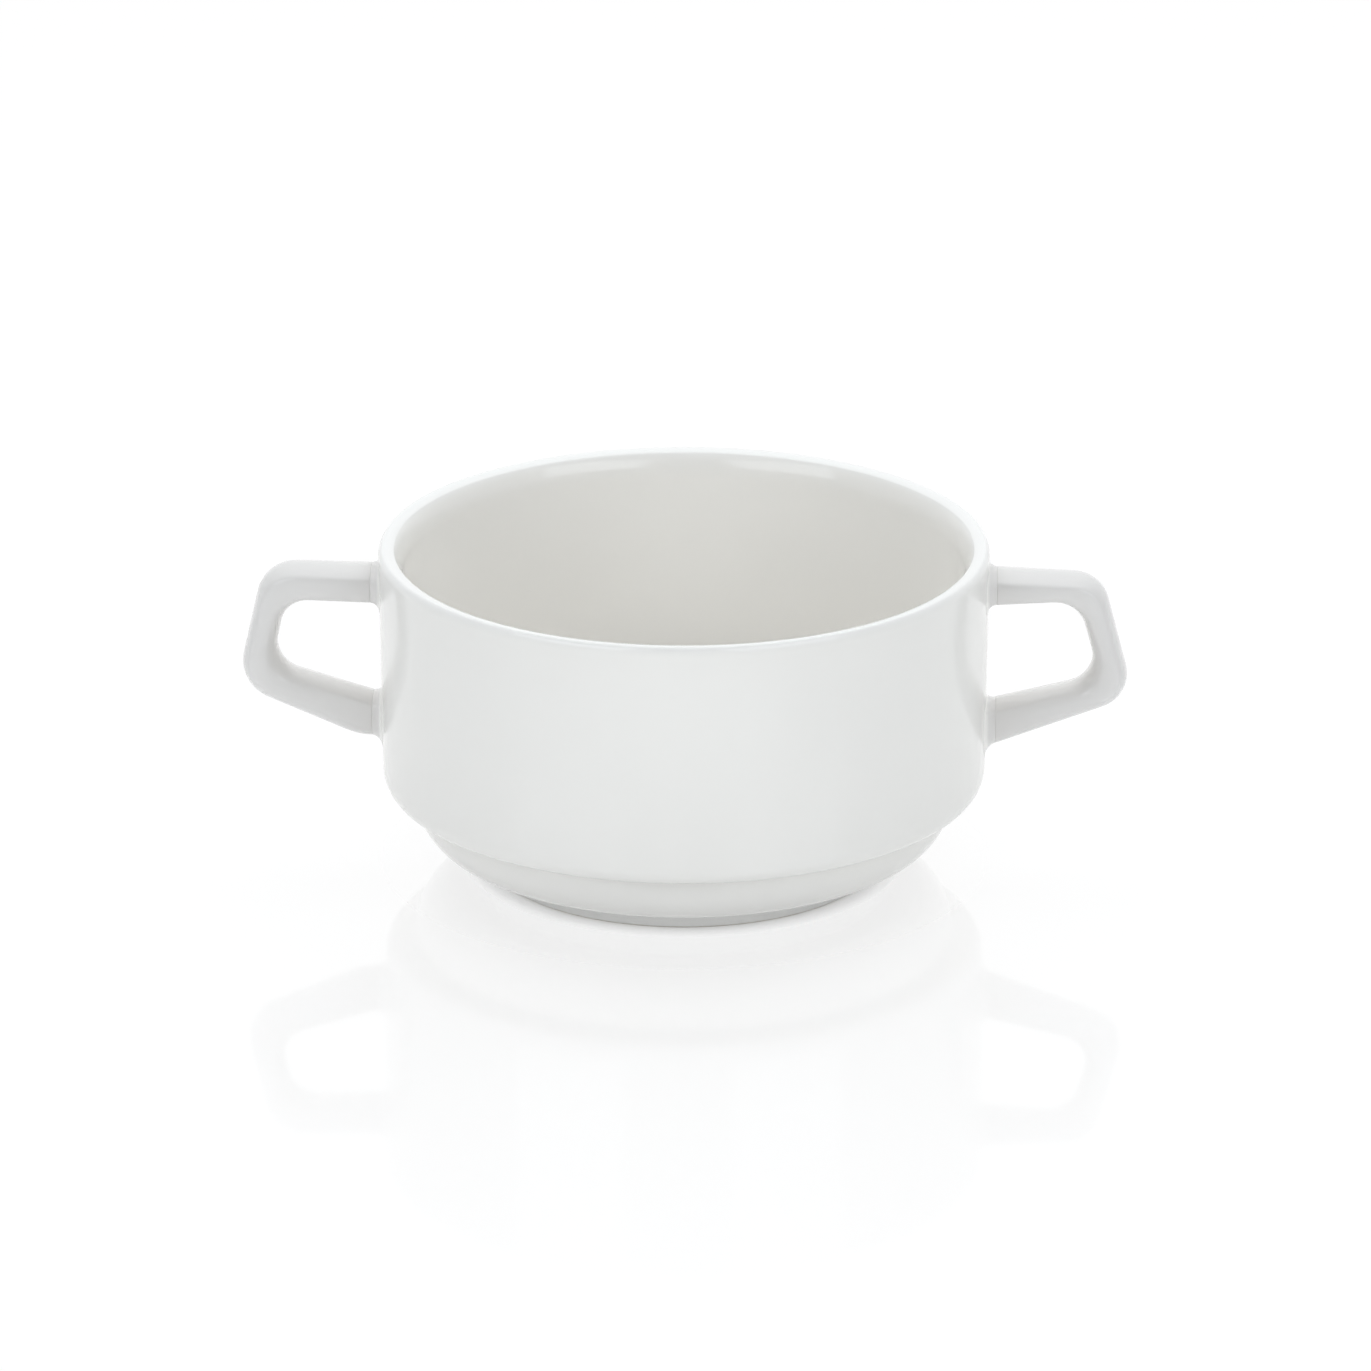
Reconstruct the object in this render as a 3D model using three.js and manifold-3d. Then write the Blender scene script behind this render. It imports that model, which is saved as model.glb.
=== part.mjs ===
// A white porcelain soup bowl with two loop handles, made to stack.
// The shell is turned in one piece, from the lip down to the foot ring.
// Two cast handles stand along X, and a flared pad of slip joins each handle end to the wall.
// Millimetres and degrees, +Z up, origin at the middle of the foot ring's resting plane.

import * as THREE from "three";
import { mergeVertices } from "three/addons/utils/BufferGeometryUtils.js";
import Module from "manifold-3d";

// Outside of the shell, from the rim down to the table
const HEIGHT = 60;
const RIM_RADIUS = 55;
const WALL_TAPER = 0.4; // the wall draws in this far between the rim and the shoulder
const SHOULDER_HEIGHT = 3.2;
const SHOULDER_INSET = 1.8;
const LEDGE = 3.6; // flat ring under the shoulder that rests on the rim of the bowl below
const BAND_HEIGHT = 10.4; // curved band between the ledge and the foot ring
const BAND_INSET = 7;
const UNDERCUT = 5; // from the band's lower edge in to the foot ring
const FOOT_HEIGHT = 4.9;
const FOOT_FILLET = 1;
const FOOT_DRAFT = 1.1; // the foot ring draws in this far on its way down
const FOOT_WIDTH = 3.6; // flat and rounded edges of the ring together, at the table
const FOOT_EDGE = 0.7;

// Inside of the shell
const WALL = 3.4;
const LIP_OUTER_ROUND = 1.5;
const LIP_INNER_ROUND = 1.7;
const INSIDE_TAPER = 0.9;
const INSIDE_CURVE_HEIGHT = 23; // the wall turns into the floor along a quarter ellipse
const INSIDE_CURVE_RADIUS = 17;
const FLOOR = 4;
const FOOT_RECESS = 3; // hollow inside the foot ring
const RECESS_FILLET = 1.5;

// Handles, seen square on
const HANDLE_DROP = 5.2; // from the rim down to the handle's top
const HANDLE_FALL = 21.3; // from the handle's top down to the knuckle, where leg and lower arm meet
const HANDLE_REACH = 26.2; // from the wall out to the knuckle, before it is rounded
const HANDLE_WIDTH = 10.4;
const HANDLE_EDGE = 1.8;
const UPPER_ARM = 4.6;
const LEG = 5.4;
const LEG_LEAN = 15.2; // from upright, back to the bowl as it rises
const LOWER_ARM = 4.2; // at the knuckle
const LOWER_ARM_SLOPE = 22.3; // of its underside
const LOWER_ARM_TAPER = 4.7; // it thickens towards the bowl
const CORNER_OUTER_ROUND = 5.2;
const CORNER_INNER_ROUND = 4.5;
const KNUCKLE_OUTER_ROUND = 6;
const KNUCKLE_INNER_ROUND = 4;

// Slip joints
const SLIP = 0.9; // thickness at the middle of the pad
const SLIP_FLARE = 1; // the pad spreads this far past the handle's section where it meets the wall
const JOINT_GAP = 0.3; // left open on both sides of the pad

// Finish
const SHELL_GLAZE = { color: 0xe6e8e7, roughness: 0.12, metalness: 0 };
const HANDLE_GLAZE = { color: 0xe4e6e6, roughness: 0.15, metalness: 0 };
const SLIP_GLAZE = { color: 0xdfe1e1, roughness: 0.2, metalness: 0 };

// Fineness of the facets
const TURN_STEPS = 72;
const CURVE_STEPS = 3;
const EDGE_STEPS = 3;
const MERGE_TOLERANCE = 1e-4;

// Radii and heights of the shell
const wallFootRadius = RIM_RADIUS - WALL_TAPER;
const stepRadius = wallFootRadius - SHOULDER_INSET;
const bandTopRadius = stepRadius - LEDGE;
const bandFootRadius = bandTopRadius - BAND_INSET;
const footTopRadius = bandFootRadius - UNDERCUT;
const footRadius = footTopRadius - FOOT_DRAFT;
const footInnerRadius = footRadius - FOOT_WIDTH;
const insideRadius = RIM_RADIUS - WALL;
const insideCurveTopRadius = insideRadius - INSIDE_TAPER;
const ledgeZ = FOOT_HEIGHT + BAND_HEIGHT;
const shoulderZ = ledgeZ + SHOULDER_HEIGHT;
const floorZ = FOOT_RECESS + FLOOR;
const insideCurveZ = floorZ + INSIDE_CURVE_HEIGHT;

// Where the handles begin
const slipFaceX = RIM_RADIUS + JOINT_GAP + SLIP;
const handleEndX = slipFaceX + JOINT_GAP;
const handleTopZ = HEIGHT - HANDLE_DROP;

const wasm = await Module();
wasm.setup();

function toSolid(geometry) {
  const flat = geometry.index ? geometry.toNonIndexed() : geometry;
  const bare = new THREE.BufferGeometry();
  bare.setAttribute("position", flat.getAttribute("position"));
  const merged = mergeVertices(bare, MERGE_TOLERANCE);
  return new wasm.Manifold(
    new wasm.Mesh({
      numProp: 3,
      vertProperties: merged.getAttribute("position").array,
      triVerts: new Uint32Array(merged.index.array),
    }),
  );
}

function toGeometry(solid) {
  const mesh = solid.getMesh();
  const geometry = new THREE.BufferGeometry();
  geometry.setAttribute("position", new THREE.BufferAttribute(mesh.vertProperties, mesh.numProp));
  geometry.setIndex(new THREE.BufferAttribute(mesh.triVerts, 1));
  const faceted = geometry.toNonIndexed();
  faceted.computeVertexNormals();
  return faceted;
}

// Profiles are drawn as radius and height, and turned about Z
function turned(profile) {
  const points = profile.getPoints(CURVE_STEPS);
  return new THREE.LatheGeometry(points, TURN_STEPS).rotateX(Math.PI / 2);
}

// Outside of the shell from the foot ring's edge up to the lip, moved out by a clearance
function drawOutside(profile, clearance) {
  const at = (radius) => radius + clearance;
  profile.lineTo(at(footTopRadius), FOOT_HEIGHT - FOOT_FILLET);
  profile.quadraticCurveTo(at(footTopRadius), FOOT_HEIGHT, at(footTopRadius + FOOT_FILLET), FOOT_HEIGHT);
  profile.lineTo(at(bandFootRadius), FOOT_HEIGHT);
  profile.absellipse(at(bandFootRadius), ledgeZ, BAND_INSET, BAND_HEIGHT, -Math.PI / 2, 0, false, 0);
  profile.lineTo(at(stepRadius), ledgeZ);
  profile.quadraticCurveTo(at(wallFootRadius), ledgeZ, at(wallFootRadius), shoulderZ);
  profile.lineTo(at(RIM_RADIUS), HEIGHT - LIP_OUTER_ROUND);
}

function shellGeometry() {
  const profile = new THREE.Path();
  profile.moveTo(0, FOOT_RECESS);
  profile.lineTo(footInnerRadius - RECESS_FILLET, FOOT_RECESS);
  profile.quadraticCurveTo(footInnerRadius, FOOT_RECESS, footInnerRadius, FOOT_EDGE);
  profile.quadraticCurveTo(footInnerRadius, 0, footInnerRadius + FOOT_EDGE, 0);
  profile.lineTo(footRadius - FOOT_EDGE, 0);
  profile.quadraticCurveTo(footRadius, 0, footRadius, FOOT_EDGE);
  drawOutside(profile, 0);
  profile.quadraticCurveTo(RIM_RADIUS, HEIGHT, RIM_RADIUS - LIP_OUTER_ROUND, HEIGHT);
  profile.lineTo(insideRadius + LIP_INNER_ROUND, HEIGHT);
  profile.quadraticCurveTo(insideRadius, HEIGHT, insideRadius, HEIGHT - LIP_INNER_ROUND);
  profile.lineTo(insideCurveTopRadius, insideCurveZ);
  const curveCentre = insideCurveTopRadius - INSIDE_CURVE_RADIUS;
  profile.absellipse(
    curveCentre, insideCurveZ, INSIDE_CURVE_RADIUS, INSIDE_CURVE_HEIGHT, 0, -Math.PI / 2, true, 0,
  );
  profile.lineTo(0, floorZ);
  return turned(profile);
}

// The shell filled in and grown by the joint gap, which the slip pads are cut to
function shellKeepOut() {
  const profile = new THREE.Path();
  profile.moveTo(0, 0);
  profile.lineTo(footRadius + JOINT_GAP, 0);
  drawOutside(profile, JOINT_GAP);
  profile.lineTo(RIM_RADIUS + JOINT_GAP, HEIGHT);
  profile.lineTo(0, HEIGHT);
  return toSolid(turned(profile));
}

function direction(degrees) {
  const angle = THREE.MathUtils.degToRad(degrees);
  return new THREE.Vector2(Math.cos(angle), Math.sin(angle));
}

// Where the line through p meets the line through q
function crossing(p, alongP, q, alongQ) {
  const travel = q.clone().sub(p).cross(alongQ) / alongP.cross(alongQ);
  return alongP.clone().multiplyScalar(travel).add(p);
}

// Draws up to a corner and round it
function roundCorner(shape, before, corner, after, radius) {
  const back = before.clone().sub(corner).normalize();
  const onward = after.clone().sub(corner).normalize();
  const halfAngle = back.angleTo(onward) / 2;
  const middle = back.clone().add(onward).setLength(radius / Math.sin(halfAngle));
  const centre = corner.clone().add(middle);
  const start = back.setLength(radius / Math.tan(halfAngle)).add(corner);
  const end = onward.setLength(radius / Math.tan(halfAngle)).add(corner);
  const turnsLeft = corner.clone().sub(before).cross(after.clone().sub(corner)) > 0;
  shape.lineTo(start.x, start.y);
  const startAngle = start.sub(centre).angle();
  const endAngle = end.sub(centre).angle();
  shape.absarc(centre.x, centre.y, radius, startAngle, endAngle, !turnsLeft);
}

// Corners of the handle in its own plane, X outwards and Z up, and the heights of its arms at a given X
function handleLines() {
  const level = direction(0);
  const upLeg = direction(90 + LEG_LEAN);
  const alongUnderside = direction(LOWER_ARM_SLOPE);
  const alongLowerTop = direction(LOWER_ARM_SLOPE - LOWER_ARM_TAPER);
  const knuckle = new THREE.Vector2(RIM_RADIUS + HANDLE_REACH, handleTopZ - HANDLE_FALL);
  const top = new THREE.Vector2(0, handleTopZ);
  const armBelow = new THREE.Vector2(0, handleTopZ - UPPER_ARM);
  const legInside = direction(180 + LEG_LEAN).multiplyScalar(LEG).add(knuckle);
  const lowerTop = direction(90 + LOWER_ARM_SLOPE).multiplyScalar(LOWER_ARM).add(knuckle);
  return {
    knuckle,
    corner: crossing(top, level, knuckle, upLeg),
    innerCorner: crossing(armBelow, level, legInside, upLeg),
    innerKnuckle: crossing(legInside, upLeg, lowerTop, alongLowerTop),
    endsAt: (x) => {
      const line = new THREE.Vector2(x, 0);
      const upright = direction(90);
      return {
        upper: [handleTopZ, handleTopZ - UPPER_ARM],
        lower: [
          crossing(lowerTop, alongLowerTop, line, upright).y,
          crossing(knuckle, alongUnderside, line, upright).y,
        ],
      };
    },
  };
}

// A plate in the handle's plane with rounded edges, centred on Y = 0
function roundedPlate(shape) {
  const depth = HANDLE_WIDTH - 2 * HANDLE_EDGE;
  const plate = new THREE.ExtrudeGeometry(shape, {
    depth,
    curveSegments: CURVE_STEPS,
    bevelThickness: HANDLE_EDGE,
    bevelSize: HANDLE_EDGE,
    bevelOffset: -HANDLE_EDGE,
    bevelSegments: EDGE_STEPS,
  });
  return plate.translate(0, 0, -depth / 2).rotateX(Math.PI / 2);
}

// The loop is drawn into the wall, past its rounded ends, and cut square where the slip begins
function handleGeometry() {
  const lines = handleLines();
  const rootX = handleEndX - 2 * HANDLE_EDGE;
  const ends = lines.endsAt(rootX);
  const [topRoot, armRoot] = ends.upper.map((z) => new THREE.Vector2(rootX, z));
  const [lowerRoot, bottomRoot] = ends.lower.map((z) => new THREE.Vector2(rootX, z));
  const loop = new THREE.Shape();
  loop.moveTo(topRoot.x, topRoot.y);
  roundCorner(loop, topRoot, lines.corner, lines.knuckle, CORNER_OUTER_ROUND);
  roundCorner(loop, lines.corner, lines.knuckle, bottomRoot, KNUCKLE_OUTER_ROUND);
  loop.lineTo(bottomRoot.x, bottomRoot.y);
  loop.lineTo(lowerRoot.x, lowerRoot.y);
  roundCorner(loop, lowerRoot, lines.innerKnuckle, lines.innerCorner, KNUCKLE_INNER_ROUND);
  roundCorner(loop, lines.innerKnuckle, lines.innerCorner, armRoot, CORNER_INNER_ROUND);
  loop.lineTo(armRoot.x, armRoot.y);
  const run = HANDLE_REACH + HANDLE_WIDTH;
  const outside = new THREE.BoxGeometry(run, 2 * HANDLE_WIDTH, 2 * HEIGHT);
  outside.translate(handleEndX + run / 2, 0, 0);
  return toGeometry(toSolid(roundedPlate(loop)).intersect(toSolid(outside)));
}

// The rounded rectangle that an arm shows where it is cut, drawn with Y across and Z up
function armSection(top, bottom) {
  const half = HANDLE_WIDTH / 2;
  const section = new THREE.Shape();
  const corners = [
    [half, bottom],
    [half, top],
    [-half, top],
    [-half, bottom],
  ].map(([y, z]) => new THREE.Vector2(y, z));
  section.moveTo(0, bottom);
  corners.forEach((corner, i) => {
    const before = corners.at(i - 1);
    const after = corners[(i + 1) % corners.length];
    roundCorner(section, before, corner, after, HANDLE_EDGE);
  });
  return section;
}

// A pad that spreads from the arm's section to the wall, whose far side is cut to the wall
function slipGeometry([top, bottom], keepOut) {
  const depth = WALL + SHOULDER_INSET;
  const pad = new THREE.ExtrudeGeometry(armSection(top, bottom), {
    depth,
    curveSegments: CURVE_STEPS,
    bevelThickness: SLIP,
    bevelSize: SLIP_FLARE,
    bevelSegments: 1,
  });
  pad.rotateX(Math.PI / 2).rotateZ(Math.PI / 2).translate(slipFaceX - depth - SLIP, 0, 0);
  return toGeometry(toSolid(pad).subtract(keepOut));
}

const bowl = new THREE.Group();

function addPiece(parent, name, geometry, glaze) {
  const piece = new THREE.Mesh(geometry, new THREE.MeshStandardMaterial(glaze));
  piece.name = name;
  parent.add(piece);
}

addPiece(bowl, "bowl_shell", shellGeometry(), SHELL_GLAZE);

const keepOut = shellKeepOut();
const slipEnds = handleLines().endsAt(slipFaceX);
const sides = [
  ["right", 0],
  ["left", Math.PI],
];
for (const [side, turn] of sides) {
  const half = new THREE.Group();
  half.rotation.z = turn;
  addPiece(half, `${side}_handle`, handleGeometry(), HANDLE_GLAZE);
  for (const [place, ends] of Object.entries(slipEnds)) {
    addPiece(half, `${side}_${place}_slip_joint`, slipGeometry(ends, keepOut), SLIP_GLAZE);
  }
  bowl.add(half);
}

export default bowl;
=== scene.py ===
"""A white glazed soup bowl with two loop handles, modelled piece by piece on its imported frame."""
import math
from typing import NamedTuple

import bmesh
import bpy
from bpy.props import FloatProperty, FloatVectorProperty, IntProperty, PointerProperty
from bpy.types import Operator, Panel, PropertyGroup
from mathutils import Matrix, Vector


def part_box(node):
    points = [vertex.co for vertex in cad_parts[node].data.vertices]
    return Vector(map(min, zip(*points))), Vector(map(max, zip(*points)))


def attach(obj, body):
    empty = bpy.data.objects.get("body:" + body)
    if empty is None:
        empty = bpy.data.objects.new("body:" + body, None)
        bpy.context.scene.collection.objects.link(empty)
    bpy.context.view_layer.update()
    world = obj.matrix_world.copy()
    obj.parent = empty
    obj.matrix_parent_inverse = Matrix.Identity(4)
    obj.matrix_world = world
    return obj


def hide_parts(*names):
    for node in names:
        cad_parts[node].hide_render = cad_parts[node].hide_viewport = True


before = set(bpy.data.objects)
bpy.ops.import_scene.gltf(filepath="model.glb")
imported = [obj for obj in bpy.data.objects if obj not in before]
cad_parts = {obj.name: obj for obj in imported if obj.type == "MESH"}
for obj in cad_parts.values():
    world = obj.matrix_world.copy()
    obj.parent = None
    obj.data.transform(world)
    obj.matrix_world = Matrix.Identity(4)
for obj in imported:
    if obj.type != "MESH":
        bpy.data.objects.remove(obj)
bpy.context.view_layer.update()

bl_info = {
    "name": "Handled Bowl",
    "version": (1, 0, 0),
    "blender": (4, 5, 0),
    "location": "View3D > Sidebar > Handled Bowl",
    "description": "Models a glazed soup bowl with two loop handles and sets it on a white stage",
    "category": "Add Mesh",
}

MM = 0.001
SIDES = ("right", "left")
LEVELS = ("upper", "lower")
WHITE = (1, 1, 1, 1)

# Places that come from the frame
SHELL_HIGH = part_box("bowl_shell")[1]
HANDLE_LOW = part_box("right_handle")[0]
JOINT_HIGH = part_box("right_upper_slip_joint")[1]
SEAM_X = (HANDLE_LOW.x + JOINT_HIGH.x) / 2

# Just inside the foot ring's outer edge
FOOT_RADIUS = 36 * MM


# Settings


def length(name, description, metres):
    """A setting for one size."""
    return FloatProperty(
        name=name, description=description, default=metres, unit="LENGTH", subtype="DISTANCE", precision=5
    )


def both_sides(name, description, right, left):
    """A setting for one size of the two handles, the right one first, from millimetres."""
    return FloatVectorProperty(
        name=name,
        description=description + ", on the right and on the left",
        size=2,
        default=(right * MM, left * MM),
        unit="LENGTH",
        precision=5,
    )


def colour(name, description, red, green, blue):
    """A setting for one colour, in linear light."""
    return FloatVectorProperty(
        name=name, description=description, size=3, default=(red, green, blue), subtype="COLOR", min=0, max=1
    )


def share(name, description, value):
    """A setting from nothing to all."""
    return FloatProperty(name=name, description=description, default=value, min=0, max=1, subtype="FACTOR")


def amount(name, description, value, least=0):
    """A setting for a plain number."""
    return FloatProperty(name=name, description=description, default=value, min=least)


def angle(name, description, degrees):
    """A setting for one angle."""
    return FloatProperty(name=name, description=description, default=math.radians(degrees), subtype="ANGLE")


class ShellSizes(PropertyGroup):
    """Sizes of the turned shell."""

    rim_radius: length("Rim radius", "Outside radius just below the lip", SHELL_HIGH.x)
    height: length("Height", "From the table to the top of the lip", SHELL_HIGH.z)
    wall: length("Wall", "Thickness of the wall below the lip's flare", 4.4 * MM)
    wall_taper: length("Wall taper", "How far the wall draws in from the rim to the shoulder", 0.4 * MM)
    lip_outer_round: length("Lip outer round", "Width of the lip's outer rounding", 0.9 * MM)
    lip_outer_drop: length("Lip outer drop", "Height of the lip's outer rounding", 1.7 * MM)
    lip_crown: length("Lip crown", "Radius of the lip's top, from its highest line inwards", 4.2 * MM)
    lip_edge: length("Lip edge", "Radius of the lip's inner edge", 0.5 * MM)
    lip_lean: angle("Lip lean", "How far the lip's top leans to the inside at its inner edge", 25)
    flare_lean: angle("Flare lean", "How far the inside leans out just below the lip", 37)
    shoulder_height: length("Shoulder height", "Height of the round above the step", 3.2 * MM)
    shoulder_inset: length("Shoulder inset", "How far the round goes in to the step", 1.8 * MM)
    ledge: length("Ledge", "Width of the step's flat underside", 3.6 * MM)
    crease: length("Crease", "Radius of the glaze in the corner under the step", 0.6 * MM)
    band_height: length("Band height", "Height of the stacking band under the step", 10.4 * MM)
    band_inset: length("Band inset", "How far the band curves in", 7 * MM)
    undercut: length("Undercut", "Width of the flat between the band and the foot ring", 5 * MM)
    foot_height: length("Foot height", "Height of the foot ring", 4.9 * MM)
    foot_fillet: length("Foot fillet", "Radius where the foot ring meets the body", 1 * MM)
    foot_draft: length("Foot draft", "How far the foot ring draws in towards the table", 1.1 * MM)
    foot_width: length("Foot width", "Width of the foot ring", 3.6 * MM)
    foot_edge: length("Foot edge", "Radius of the foot ring's edges", 0.7 * MM)
    foot_recess: length("Foot recess", "Depth of the hollow inside the foot ring", 3 * MM)
    recess_fillet: length("Recess fillet", "Radius of the hollow's corner", 1.5 * MM)
    inside_taper: length("Inside taper", "How far the inside draws in above its curve", 0.9 * MM)
    inside_curve_height: length("Inside curve height", "Height of the curve down to the floor", 23 * MM)
    inside_curve_radius: length("Inside curve radius", "Width of the curve down to the floor", 17 * MM)
    floor: length("Floor", "Thickness of the floor over the hollow", 4 * MM)
    turns: IntProperty(name="Turns", description="Faces around the bowl", default=192, min=24)


class HandleSizes(PropertyGroup):
    """Sizes of the two loop handles, outwards from the bowl's axis and up from the table."""

    upper_width: both_sides("Upper width", "Width of the strap at the upper joint", 10.4, 10.4)
    lower_width: both_sides("Lower width", "Width of the strap at the lower joint", 8.8, 8.8)
    top_at_joint: both_sides("Top at joint", "Height of the upper arm's top at the wall", 55.8, 55.3)
    corner_reach: both_sides("Corner reach", "Reach of the upper corner, before rounding", 75.3, 75.75)
    corner_height: both_sides("Corner height", "Height of the upper corner, before rounding", 54.85, 55.65)
    knuckle_reach: both_sides("Knuckle reach", "Reach of the knuckle, before rounding", 81.2, 81.05)
    knuckle_height: both_sides("Knuckle height", "Height of the knuckle, before rounding", 32.5, 32.8)
    bottom_at_joint: both_sides("Bottom at joint", "Height of the underside at the wall", 23.05, 22.05)
    upper_arm_at_joint: both_sides("Upper arm at joint", "Its thickness at the wall", 5.8, 6.3)
    upper_arm_at_corner: both_sides("Upper arm at corner", "Its thickness at the upper corner", 3.8, 6.45)
    leg_at_corner: both_sides("Leg at corner", "Its thickness at the upper corner", 5.35, 5.2)
    leg_at_knuckle: both_sides("Leg at knuckle", "Its thickness at the knuckle", 5.05, 5.65)
    lower_arm_at_knuckle: both_sides("Lower arm at knuckle", "Its thickness at the knuckle", 4.4, 5.5)
    lower_arm_at_joint: both_sides("Lower arm at joint", "Its thickness at the wall", 7.65, 8.45)
    corner_outer_round: both_sides("Corner outer round", "Outer radius of the upper corner", 6.25, 6.95)
    corner_inner_round: both_sides("Corner inner round", "Inner radius of the upper corner", 6.15, 5.55)
    knuckle_outer_round: both_sides("Knuckle outer round", "Outer radius of the knuckle", 6.0, 7.15)
    knuckle_inner_round: both_sides("Knuckle inner round", "Inner radius of the knuckle", 5.85, 5.65)
    level_rise: both_sides("Level rise", "Rise of the underside where it levels out at the wall", 0, 1.1)
    level_run: length("Level run", "Length over which it levels out", 4.5 * MM)
    outer_share: share("Outer share", "Flat edge as a share of the half thickness, outer side", 0.56)
    inner_share: share("Inner share", "Flat edge as a share of the half thickness, inner side", 0.75)
    edge_bulge: share("Edge bulge", "How far those edges swell, as a share of the half width", 0.05)
    edge_sharpness: amount("Edge sharpness", "How crisp the line between face and edge is", 24, 2)
    outer_round: share("Outer round", "How far the outer side has turned round at the lower joint", 0.9)
    outer_squareness: amount("Outer squareness", "Of that round, 2 for an oval", 2.8, 2)
    inner_round_run: share("Inner round run", "Share of the way down by which the inner side is round", 0.5)
    inner_round_left: share("Inner round left", "How much of that round is left at the lower joint", 0.15)
    inner_round_fade: share("Inner round fade", "Share of the way down over which all of it would fade", 0.4)
    inner_squareness: amount("Inner squareness", "Of that round, 2 for an oval", 2.4, 2)
    seam_depth: length("Seam depth", "Depth of the line where the strap was stuck on", 0.04 * MM)
    seam_width: length("Seam width", "Width of that line on each side", 0.25 * MM)
    slip_flare: length("Slip flare", "How far the slip spreads over the wall", 1.7 * MM)
    slip_sink: length("Slip sink", "How deep the slip's edge lies in the wall", 0.02 * MM)


class GlazeLook(PropertyGroup):
    """Colours and gloss of the glaze and of the bare clay."""

    glaze: colour("Glaze", "Glaze over the white clay", 0.87, 0.85, 0.812)
    # Painted shade: the handles get a greyer copy of the bowl's glaze, darkening them as shade would
    strap_glaze_painted_shade: colour("Strap glaze", "Glaze over the handles, a shade greyer", 0.74, 0.719, 0.696)
    # Lighter glaze at the lip and on the foot ring: partly thin glaze, partly painted light that lifts the
    # shaded foot ring
    thin_glaze_and_painted_light: colour("Thin glaze", "Where the glaze runs thin", 0.89, 0.876, 0.848)
    # Darker glaze in the crease under the step: partly glaze that pools there, partly painted shade
    pooled_glaze_and_painted_shade: colour("Pooled glaze", "Where the glaze gathers under the step", 0.76, 0.755, 0.729)
    bare_clay: colour("Bare clay", "Unglazed face of the foot ring", 0.70, 0.66, 0.58)
    gloss_roughness: share("Gloss roughness", "Roughness of the smooth glaze", 0.09)
    clay_roughness: share("Clay roughness", "Roughness of the bare clay", 0.62)


class StageSettings(PropertyGroup):
    """Camera, lamps and floor."""

    camera_azimuth: angle("Camera azimuth", "Turn of the camera about the bowl", 2)
    camera_pitch: angle("Camera pitch", "How far the camera looks down", 20.35)
    camera_distance: length("Camera distance", "From the camera to the middle of the picture", 1.5)
    camera_height: length("Aim height", "Height of the middle of the picture", 32.79 * MM)
    camera_offset: length("Aim offset", "Sideways place of the middle of the picture", 0.27 * MM)
    focal_length: FloatProperty(
        name="Focal length", description="For a sensor 36 mm wide", default=217.65, unit="CAMERA"
    )
    floor_colour: colour("Floor colour", "Paper under the bowl", 0.95, 0.95, 0.95)
    floor_size: length("Floor size", "Side of the paper", 12)
    contact_share: share("Contact share", "How much of the floor at the foot takes its shadow", 0.75)
    contact_reach: length("Contact reach", "Distance from the foot over which that fades", 5 * MM)
    shadow_share: share("Shadow share", "How much of the floor beside the bowl takes its shadow", 0.08)
    shadow_lift: share("Shadow lift", "White added to the shaded paper to bring its lit part to white", 0.15)
    shadow_near: length("Shadow near", "Distance from the axis where the shadow starts to fade", 0.2)
    shadow_far: length("Shadow far", "Distance from the axis where the shadow has gone", 0.7)
    mirror_share: share("Mirror share", "Strength of the mirror image in the floor beside the foot", 0.19)
    mirror_roughness: share("Mirror roughness", "Blur of that image", 0.05)
    mirror_near: length("Mirror near", "Distance from the axis where the image starts to fade", 35 * MM)
    mirror_far: length("Mirror far", "Distance from the axis where the image has gone", 260 * MM)
    lamp_colour: colour("Lamp colour", "Colour of all the light", 0.928, 0.965, 1.0)
    ambient: amount("Ambient", "Light from all around", 0.16)
    front_light: amount("Front light", "Radiance of the two front panels", 2.1)
    low_light: amount("Low light", "Radiance of the two low front panels", 1.68)
    top_light: amount("Top light", "Radiance of the high back panel", 3.7)
    back_light: amount("Back light", "Radiance of the wide back panel", 0.15)


class HandledBowlSettings(PropertyGroup):
    """All the settings of the bowl and its stage."""

    shell: PointerProperty(type=ShellSizes)
    handle: PointerProperty(type=HandleSizes)
    look: PointerProperty(type=GlazeLook)
    stage: PointerProperty(type=StageSettings)


# Drawing by hand

# Directions across a half profile, in degrees, and the first one again after a full turn
OUT, UP, IN, DOWN, OUT_AGAIN = 0, 90, 180, 270, 360

MERGE_GAP = 0.001 * MM
RING_POINTS = 128
SOFT_LEVELS = 1


def deselect_all():
    """Leaves edit mode and drops whatever is selected."""
    if bpy.context.mode != "OBJECT":
        bpy.ops.object.mode_set(mode="OBJECT")
    bpy.ops.object.select_all(action="DESELECT")


def pick(piece):
    """Selects one piece alone and makes it active."""
    deselect_all()
    piece.select_set(True)
    bpy.context.view_layer.objects.active = piece


def line(start, stop, steps):
    """Points from start to just before stop."""
    start, stop = Vector(start), Vector(stop)
    return [start.lerp(stop, i / steps) for i in range(steps)]


def arc(centre, radii, first, last, steps):
    """Points of an upright elliptical arc between two directions."""
    points = []
    for i in range(steps + 1):
        turn = math.radians(first + (last - first) * i / steps)
        points.append(Vector((centre[0] + radii[0] * math.cos(turn), centre[1] + radii[1] * math.sin(turn))))
    return points


def go_on(start, radius, first, last, steps):
    """Points after start of a round that faces the direction first there and last at its end."""
    turn = math.radians(first)
    centre = start - Vector((math.cos(turn), math.sin(turn))) * radius
    return arc(centre, (radius, radius), first, last, steps)[1:]


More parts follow.
